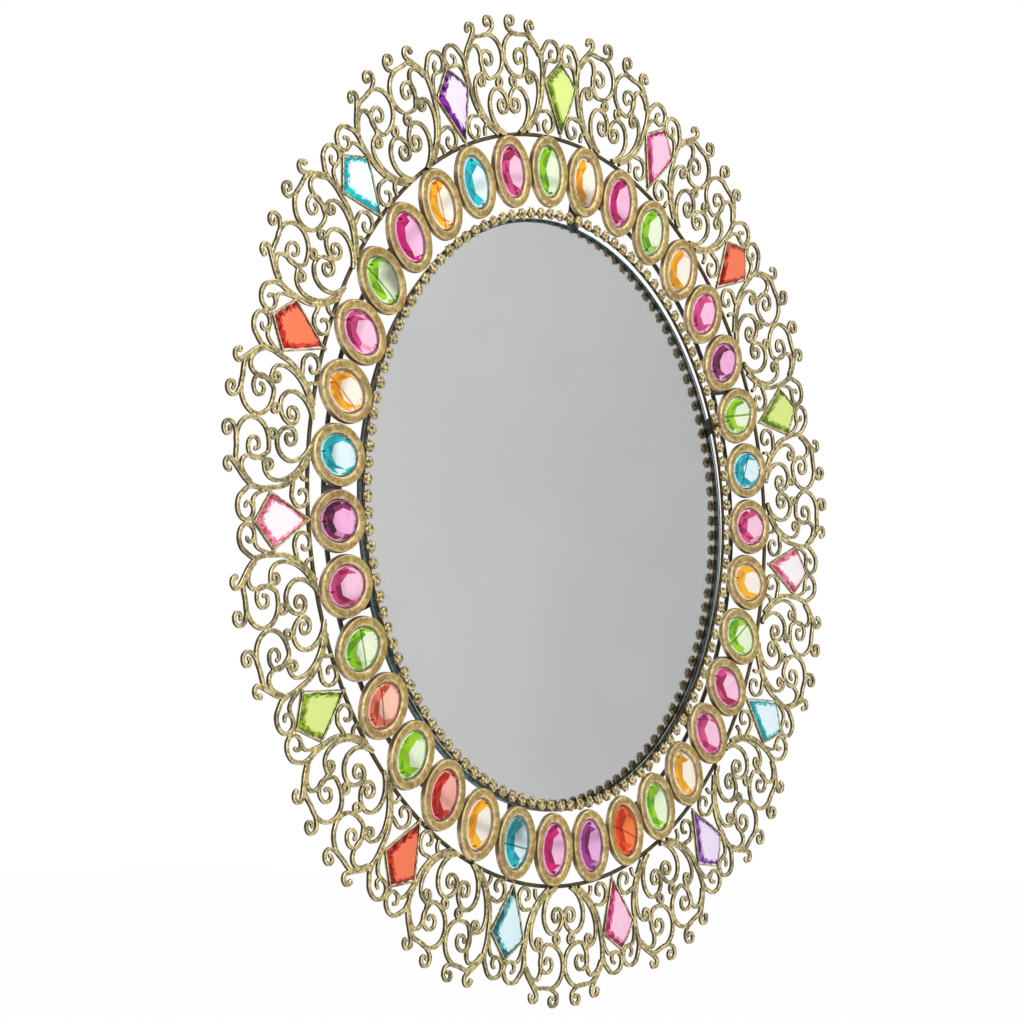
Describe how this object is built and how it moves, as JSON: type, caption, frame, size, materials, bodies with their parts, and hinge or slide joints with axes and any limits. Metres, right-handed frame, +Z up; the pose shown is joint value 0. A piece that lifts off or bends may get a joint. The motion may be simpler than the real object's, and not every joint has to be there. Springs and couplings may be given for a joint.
{
  "type": "round wall mirror",
  "caption": "Round wall mirror in an open brass frame: a ring of beads, a ring of oval cut acrylic stones, and scrollwork panels with kite-shaped stones between them.",
  "frame": {"origin": "centre of the frame on the wall plane, where the four bumpers touch the wall", "axes": "+Z up, +X to the right as seen from the front, the mirror faces -Y and the wall is on the +Y side"},
  "size_m": [0.8146, 0.0258, 0.8115],
  "materials": {
    "mirror": "polished silvered glass",
    "board": "dark stained fibreboard",
    "rubber": "matt",
    "antique_brass": "satin antique brass, darkened in the hollows",
    "bead_brass": "grainy cast antique brass",
    "dark_steel": "satin black",
    "zinc_steel": "zinc plated",
    "acrylic_magenta": "clear tinted acrylic, cut and polished",
    "acrylic_amber": "clear tinted acrylic, cut and polished",
    "acrylic_cyan": "clear tinted acrylic, cut and polished",
    "acrylic_pink": "clear tinted acrylic, cut and polished",
    "acrylic_lime": "clear tinted acrylic, cut and polished",
    "acrylic_red": "clear tinted acrylic, cut and polished",
    "acrylic_salmon": "clear tinted acrylic, cut and polished",
    "acrylic_plum": "clear tinted acrylic, cut and polished",
    "acrylic_orchid": "clear tinted acrylic, cut and polished",
    "acrylic_rose": "clear tinted acrylic, cut and polished",
    "acrylic_lilac": "clear tinted acrylic, cut and polished",
    "acrylic_aqua": "clear tinted acrylic, cut and polished"
  },
  "bodies": {
    "mirror": {"mirror_glass": "mirror", "backing_board": "board", "bumpers": "rubber", "bead_wire": "antique_brass", "beads": "bead_brass", "outer_ring": "antique_brass", "oval_settings_01": "antique_brass", "oval_settings_02": "antique_brass", "oval_settings_03": "antique_brass", "oval_settings_04": "antique_brass", "oval_settings_05": "antique_brass", "oval_stones_magenta": "acrylic_magenta", "oval_stones_amber": "acrylic_amber", "oval_stones_cyan": "acrylic_cyan", "oval_stones_pink": "acrylic_pink", "oval_stones_lime": "acrylic_lime", "oval_stones_red": "acrylic_red", "oval_stones_salmon": "acrylic_salmon", "oval_stones_plum": "acrylic_plum", "oval_stones_orchid": "acrylic_orchid", "scroll_panel_01": "antique_brass", "scroll_panel_02": "antique_brass", "scroll_panel_03": "antique_brass", "scroll_panel_04": "antique_brass", "scroll_panel_05": "antique_brass", "scroll_panel_06": "antique_brass", "scroll_panel_07": "antique_brass", "scroll_panel_08": "antique_brass", "scroll_panel_09": "antique_brass", "scroll_panel_10": "antique_brass", "scroll_panel_11": "antique_brass", "scroll_panel_12": "antique_brass", "scroll_panel_13": "antique_brass", "scroll_panel_14": "antique_brass", "scroll_panel_15": "antique_brass", "kite_settings": "antique_brass", "kite_stone_01": "acrylic_plum", "kite_stone_02": "acrylic_lime", "kite_stone_03": "acrylic_pink", "kite_stone_04": "acrylic_red", "kite_stone_05": "acrylic_lime", "kite_stone_06": "acrylic_rose", "kite_stone_07": "acrylic_cyan", "kite_stone_08": "acrylic_lilac", "kite_stone_09": "acrylic_pink", "kite_stone_10": "acrylic_aqua", "kite_stone_11": "acrylic_red", "kite_stone_12": "acrylic_lime", "kite_stone_13": "acrylic_rose", "kite_stone_14": "acrylic_red", "kite_stone_15": "acrylic_cyan", "rear_hoop": "dark_steel", "standoff_posts": "dark_steel", "retaining_tabs": "dark_steel", "board_screws": "zinc_steel", "hanger_strap_left": "zinc_steel", "hanger_strap_right": "zinc_steel"},
    "ring_left": {"d_ring_left": "zinc_steel"},
    "ring_right": {"d_ring_right": "zinc_steel"}
  },
  "joints": [
    {"name": "ring_left_swing", "type": "hinge", "parent": "mirror", "child": "ring_left", "pos_m": [-0.15, -0.00325, 0.12], "axis": [1, 0, 0], "range_deg": [0, 180]},
    {"name": "ring_right_swing", "type": "hinge", "parent": "mirror", "child": "ring_right", "pos_m": [0.15, -0.00325, 0.12], "axis": [1, 0, 0], "range_deg": [0, 180]}
  ]
}
